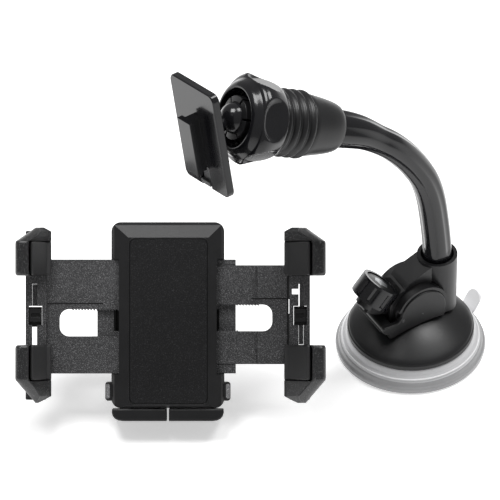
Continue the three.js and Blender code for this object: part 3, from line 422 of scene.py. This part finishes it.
# neck
route = [Vector(p) for p in [
    (0, 0, 42.5), (0, 0, 57.8), (-0.8, 0, 70), (-2.4, 0, 84.8), (-4.4, 0, 98.4), (-7.2, 0, 109.5),
    (-11.2, 0, 119.2), (-18.4, 0, 131.4), (-27.2, 0, 142.4), (-35.6, 0, 150.2), (-46.5, 0, 158.9), neckEnd]]
route.append(route[-1] + Vector((-math.cos(rad(25)), 0, math.sin(rad(25)))) * 9)  # on into the head
neckLook = {
    "radius": 7.75, "flare": 2.3, "fluteDepth": 0.55, "flutes": 6, "rings": 150, "steps": 72,
    "bendStart": (-4.4, 0, 98.4), "bendEnd": (-27.2, 0, 142.4)}
centres, neckLength = curveThrough(route, neckLook["rings"])
neckRings = []
for i, c in enumerate(centres):
    before, after = centres[max(0, i - 1)], centres[min(len(centres) - 1, i + 1)]
    along = (after - before).normalized()
    side = Vector((0, 1, 0))
    out = side.cross(along).normalized()
    s = neckLength * i / neckLook["rings"]
    flare = neckLook["flare"] * smoothStep(s, neckLength - 42, neckLength - 10)
    ring = []
    for k in range(neckLook["steps"]):
        a = 2 * math.pi * k / neckLook["steps"]
        wave = max(0, math.cos(neckLook["flutes"] * a)) ** 0.8
        begin = smoothStep(s, 17.4 + 2.6 * (1 - wave), 19.6 + 2.6 * (1 - wave))
        r = neckLook["radius"] + flare - neckLook["fluteDepth"] * wave * begin
        ring.append(c + side * (r * math.sin(a)) + out * (r * math.cos(a)))
    neckRings.append(ring)
neckMesh = skinRings(neckRings)
neckSkin = finishPiece("neck_skin", neckMesh, neckFrame, "gloss_plastic", None, ["neck_lower", "neck_upper"])
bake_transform(neckSkin)
print("neck made")

# head
head = {"sleeve": 20.7, "ribs": 4, "pitch": 5}
profile = [
    (10.4, 0.5), (10.9, 0), (11.5, 0.1), (12.2, 0.8), (13, 2.4), (13.8, 5), (14.7, 9), (15.5, 13.5),
    (16.3, 18.6), (16.6, 20.3)]
for i in range(head["ribs"]):
    z = head["sleeve"] + i * head["pitch"]
    profile += [
        (16.3, z + 0.3), (16.4, z + 0.8), (17.4, z + 1.5), (17.9, z + 2.1), (18, z + 2.7), (17.8, z + 3.4),
        (17.2, z + 4.1), (16.4, z + 4.6)]
ribsEnd = head["sleeve"] + head["ribs"] * head["pitch"]
profile += [
    (16, ribsEnd - 0.1), (13.7, ribsEnd), (13.6, 54), (12.1, 54.4), (12.1, 45), (10.6, 44), (10.6, 12)]
headMesh = turnedRings(profile, 128)
finishPiece("head_housing", headMesh, headFrame, "satin_plastic", "neck_top", ["ball_housing"], 0.12, 40)

nut = {
    "scallops": 5, "flat": 19.6, "scallopWidth": 0.8, "scallopFrom": 46, "scallopLength": 11.3, "turn": -18.7,
    "mouth": 15.5, "bore": 14, "back": 41, "steps": 300}
nutOutside = [
    (41, 19.6), (41.3, 20), (42, 20.5), (43, 21), (44.5, 21.7), (46, 22.3), (47.5, 22.9), (49, 23.4),
    (50, 23.7), (51, 23.95), (52, 24.1), (53, 24.2), (54, 24.15), (55, 23.9), (56, 23.4), (56.8, 22.8),
    (57.4, 22.1), (57.7, 21.2), (58, 20.9), (59, 20.2), (60, 19.5), (60.8, 18.9), (61.4, 18.2), (61.9, 17.4),
    (62.2, 16.6)]
nutInside = [
    (62.2, 15.9), (61.9, 15.5), (61.3, nut["mouth"]), (57, 14.6), (55.4, 14.1), (54, nut["bore"]),
    (nut["back"], nut["bore"])]
nutRings = []
for z, full in nutOutside:
    ring = []
    for k in range(nut["steps"]):
        a = 2 * math.pi * k / nut["steps"]
        offCentre = (a * nut["scallops"] / (2 * math.pi)) % 1 - 0.5
        across = abs(offCentre) * 2 / nut["scallopWidth"]
        q = across ** 2.6 + (max(0, z - nut["scallopFrom"]) / nut["scallopLength"]) ** 3
        cut = 1 - smoothStep(q, 0.72, 1.16)
        flat = nut["flat"] / math.cos(offCentre * 2 * math.pi / nut["scallops"])
        r = full + (min(full, flat) - full) * cut
        a += rad(nut["turn"])
        ring.append((r * math.cos(a), r * math.sin(a), z))
    nutRings.append(ring)
for z, r in nutInside:
    angles = [2 * math.pi * k / nut["steps"] + rad(nut["turn"]) for k in range(nut["steps"])]
    nutRings.append([(r * math.cos(a), r * math.sin(a), z) for a in angles])
nutMesh = skinRings(nutRings, closedEnds=False, loop=True)
finishPiece("nut_shell", nutMesh, headFrame, "gloss_plastic", "nut", ["clamp_nut"])
carried("ball_cup", "satin_plastic", "neck_top", 0.3, 34)

ball = {"radius": 8.45, "steps": 96}
ballMesh = bmesh.new()
around, along = ball["steps"], ball["steps"] // 2
bmesh.ops.create_uvsphere(ballMesh, u_segments=around, v_segments=along, radius=ball["radius"])
finishPiece("ball_round", ballMesh, toMetres @ Matrix.Translation(ballAt), "gloss_plastic", "ball", ["ball"])
stemProfile = [(3.9, 7.6), (3.9, 10.4), (4.1, 10.9)]
for x in (11.3, 13.5, 15.7):
    stemProfile += [(4.1, x), (4.5, x + 0.25), (4.6, x + 0.6), (4.5, x + 0.95), (4.1, x + 1.2)]
stemProfile += [(4.1, 18), (4.4, 18.6), (0.1, 18.6), (0.1, 7.6)]
alongX = Matrix(((0, 0, 1, 0), (0, 1, 0, 0), (-1, 0, 0, 0), (0, 0, 0, 1)))
stemMesh = turnedRings(stemProfile, 64)
finishPiece("stem_round", stemMesh, plateFrame @ alongX, "gloss_plastic", "stem", ["ball_stem"])
carried("clip_plate", "gloss_plastic", "plate", 0.45, 40)
carried("clip_latch", "grained_plastic", "latch", 0.3, 40)
print("head made")

# holder
carried("front_cover", "satin_plastic", "holder", 0.5, 14)
carried("rear_cover", "satin_plastic", "holder", 0.5, 34)
carried("front_pad", "face_rubber", "holder", 0.25, 40)
carried("clip_receiver", "satin_plastic", "holder", 0.4, 34)
bead = {"left": -20.8, "right": 21.6, "low": -43.8, "high": 44.5, "round": 3.4, "width": 0.6, "top": 0.38}
outer = roundedBox(bead["left"], bead["right"], bead["low"], bead["high"], bead["round"])
inner = roundedBox(bead["left"] + bead["width"], bead["right"] - bead["width"], bead["low"] + bead["width"],
                   bead["high"] - bead["width"], 2.9)
beadMesh = slab(outer, -0.3, bead["top"], [inner])
finishPiece("pad_bead", beadMesh, holderFrame, "satin_plastic", "holder", [], 0.18)
for i in range(1, 5):
    carried(f"cover_screw_{i}", "steel", "holder", 0.12, 40)

# distances out from the holder's middle: start to the grip, the grip's length, then the tapered end
clawLook = {
    "inner": 61.3, "outer": {"left": 79.9, "right": 83.1}, "floor": -1.3, "rise": 17,
    "lip": 7.2, "round": 3.2,
    "start": {"top": 24.4, "bottom": 12}, "grip": {"top": 18.2, "bottom": 18.6},
    "end": {"top": 7.2, "bottom": 12}, "inset": {"top": 4, "bottom": 7}}


# one slice across a claw: raised outer lip, shelf under the face, low inner edge
def clawSection(inner, outer, top, shelf, low, y):
    lip = min(clawLook["lip"], (outer - inner) * 0.5)
    radius = min(clawLook["round"], lip * 0.45, max(0.6, top * 0.4))
    small = radius * 0.5
    points = [(inner, clawLook["floor"]), (outer, clawLook["floor"])]
    for i in range(7):
        a = rad(15 * i)
        points.append((outer - radius + radius * math.cos(a), top - radius + radius * math.sin(a)))
    for i in range(5):
        a = rad(90 + 22.5 * i)
        points.append((outer - lip + small + small * math.cos(a), top - small + small * math.sin(a)))
    points += [(outer - lip, min(shelf, top - small - 0.1)), (inner + 1.6, low), (inner, low - 0.8)]
    return [(x, y, z) for x, z in points]


def clawBody(side, level):
    inner, outer = clawLook["inner"], clawLook["outer"][side]
    start, grip, end = (clawLook[k][level] for k in ("start", "grip", "end"))
    rise = clawLook["rise"]
    rings = []
    rounded = [(1.6, 0), (0.8, 0.25), (0.3, 0.8), (0, 1.6), (0, grip - 1.4), (0.15, grip - 0.7), (0.5, grip)]
    for shrink, along in rounded:
        a, b = inner + shrink * 0.4, outer - shrink * 0.7
        rings.append(clawSection(a, b, rise - shrink, 3, 0.9, start + along))
    for t in (0.03, 0.1, 0.3, 0.5, 0.7, 0.86, 0.95, 1):
        inset = clawLook["inset"][level] * max(0, (t - 0.72) / 0.28)
        top = rise - 0.6 - 13 * t ** 1.15 - (0.8 if t == 1 else 0)
        a, b = inner + inset, outer - 0.4 - 10 * t
        rings.append(clawSection(a, b, top, top - 1.2, 3.2 - 0.8 * t, start + grip + end * t))
    return skinRings(rings)


# the sloping face that meets the phone
def clawFace(side, level):
    a, b = clawLook["inner"] + 0.2, clawLook["outer"][side] - clawLook["lip"] - 0.7
    start, grip = clawLook["start"][level], clawLook["grip"][level]
    rings = []
    rounded = [(0.9, 0.3), (0.25, 0.6), (0, 1.3), (0, grip - 1.4), (0.25, grip - 0.6), (0.9, grip - 0.25)]
    for inset, along in rounded:
        drop = inset * 0.6
        section = [
            (a + inset, 0.2), (b - inset, 0.2), (b - inset, 13.6 - inset), (b - 0.5 - inset, 14.6 - inset),
            (b - 1.4 - inset, 14.9 - inset), (a + 2 + inset, 2.6 - drop), (a + 0.5 + inset, 1.9 - drop),
            (a + inset, 1.2 - drop)]
        rings.append([(x, start + along, z) for x, z in section])
    return skinRings(rings)


# grey strips in the slots painted as the backdrop's light seen through them with shade, dark strips in the
# slots and detent windows painted as shade, and dark lines painted as shade along the creases across the
# arms: x0, x1, y0, y1, finish
armLook = {
    "key": (30.6, 32.8, -40.4, -32.7),
    "crease_shade": {"left": (34, 63.6, 9.35, 10.05), "right": (44, 62.8, 11.95, 12.65)},
    "detentShade": {"left": (66.4, 73.4, -2.6, 7.9), "right": (66.4, 73.4, -1.8, 8.2)},
    "slotLightAndShade": {
        "left": [(69.0, 71.4, 8.4, 19.9, "button_plastic")],
        "right": [(69.0, 71.4, -11.9, -1.8, "button_plastic"), (69.4, 72, 8.2, 20, "button_plastic"),
                  (62.8, 64.9, 12, 25.4, "claw_rubber"), (62.8, 64.9, -18.6, 4.4, "claw_rubber"),
                  (62.8, 63.7, 4.4, 12, "claw_rubber")]},
    "stripLow": -6.4, "stripHigh": -5.2}
for side in ("left", "right"):
    arm = side + "_arm"
    carried(side + "_arm", "grained_plastic", arm, 0.18, 40, 2)
    carried(side + "_rail", "grained_plastic", arm, 0.35, 40)
    carried(side + "_detent", "satin_plastic", arm, 0.3, 40)
    carried(side + "_button", "satin_plastic", side + "_button", 0.4, 34)
    sx = -1 if side == "left" else 1
    armPlace = holderFrame @ Matrix.Diagonal((sx, 1, 1, 1))
    low, high = armLook["stripLow"], armLook["stripHigh"]
    key = slab(roundedBox(*armLook["key"], 0.9), -5.7, -5.3)
    finishPiece(side + "_key_face", key, armPlace, "button_plastic", side + "_button", [], 0.12)
    # a dark line along the arm's crease: painted shade
    crease_shade = slab(roundedBox(*armLook["crease_shade"][side], 0.3), -4.8, -4.5)
    finishPiece(side + "_arm_crease", crease_shade, armPlace, "face_rubber", arm, [], 0.05)
    # grey strips paint the light seen through the slots, with shade; dark strips paint shade in them
    for i, (*edges, finish) in enumerate(armLook["slotLightAndShade"][side]):
        strip = slab(roundedBox(*edges, 0.2), low, high)
        finishPiece(f"{side}_slot_light_and_shade_{i + 1}", strip, armPlace, finish, arm, [], 0.08)
    # a dark strip in the detent window paints shade
    detentShade = slab(roundedBox(*armLook["detentShade"][side], 0.3), low, high)
    finishPiece(side + "_detent_shade", detentShade, armPlace, "claw_rubber", arm, [], 0.1)
    carried(side + "_foot", "satin_plastic", side + "_foot", 0.6, 34)
    for level in ("top", "bottom"):
        claw = f"{side}_{level}_claw"
        sy = -1 if level == "bottom" else 1
        clawPlace = holderFrame @ Matrix.Diagonal((sx, sy, 1, 1))
        shell, padded = clawBody(side, level), clawFace(side, level)
        finishPiece(claw + "_shell", shell, clawPlace, "claw_plastic", claw, [claw], 0.45, 24)
        finishPiece(claw + "_face", padded, clawPlace, "claw_rubber", claw, [claw + "_pad"], 0.5, 30)
carried("sync_pinion", "satin_plastic", "pinion", 0.12, 40, 2)
carried("ratchet_pawl", "satin_plastic", "pawl", 0.2, 40, 2)
print("holder made")

# small inner parts keep their CAD mesh, with a finish
for node in ("cup_stud", "lever_pin", "neck_core_lower", "neck_core_upper", "pinion_spring", "pawl_spring"):
    nodes[node].data.materials.clear()
    nodes[node].data.materials.append(materials["steel"])

# stage
stage = {
    "floorHalf": 6, "floorDrop": 0.0005, "floorColour": (0.93, 0.93, 0.93, 1), "floorGlow": 0.45,
    "skyStrength": 0.34,
    "look": 42, "target": (-0.0858, 0.0036, 0.0638), "distance": 4, "lens": 543.4}
h = stage["floorHalf"]
floorMesh = bpy.data.meshes.new("floor")
floorMesh.from_pydata([(-h, -h, 0), (h, -h, 0), (h, h, 0), (-h, h, 0)], [], [(0, 1, 2, 3)])
floor = bpy.data.objects.new("floor", floorMesh)
scene.collection.objects.link(floor)
floor.location.z = -stage["floorDrop"]
paper = bpy.data.materials.new("paper")
paper.use_nodes = True
paperLook = paper.node_tree.nodes["Principled BSDF"].inputs
paperLook["Base Color"].default_value = stage["floorColour"]
paperLook["Emission Color"].default_value = (1, 1, 1, 1)
paperLook["Emission Strength"].default_value = stage["floorGlow"]
paperLook["Roughness"].default_value = 0.9
paperLook["Specular IOR Level"].default_value = 0.1
floorMesh.materials.append(paper)

world = bpy.data.worlds.new("studio")
scene.world = world
world.use_nodes = True
sky = world.node_tree.nodes["Background"].inputs
sky["Color"].default_value = (1, 1, 1, 1)
sky["Strength"].default_value = stage["skyStrength"]


def softLight(name, at, aim, size, watts):
    lamp = bpy.data.lights.new(name, "AREA")
    lamp.shape = "RECTANGLE"
    lamp.size, lamp.size_y = size
    lamp.energy = watts
    stand = bpy.data.objects.new(name, lamp)
    scene.collection.objects.link(stand)
    stand.location = at
    stand.rotation_euler = (Vector(aim) - Vector(at)).to_track_quat("-Z", "Y").to_euler()


softLight("leftSoftbox", (-0.5, 0.1, 1.5), (-0.08, 0, 0.08), (0.6, 0.6), 13)
softLight("rightSoftbox", (0.45, 0.3, 1.4), (-0.05, 0, 0.1), (0.5, 0.7), 12)

camera = bpy.data.objects.new("camera", bpy.data.cameras.new("camera"))
scene.collection.objects.link(camera)
away = Vector((0, -math.cos(rad(stage["look"])), math.sin(rad(stage["look"]))))
camera.location = Vector(stage["target"]) + stage["distance"] * away
camera.rotation_euler = (-away).to_track_quat("-Z", "Y").to_euler()
camera.data.sensor_width = 36
camera.data.lens = stage["lens"]
camera.data.clip_end = 20
scene.camera = camera
scene.view_settings.view_transform = "Standard"
print("stage made")
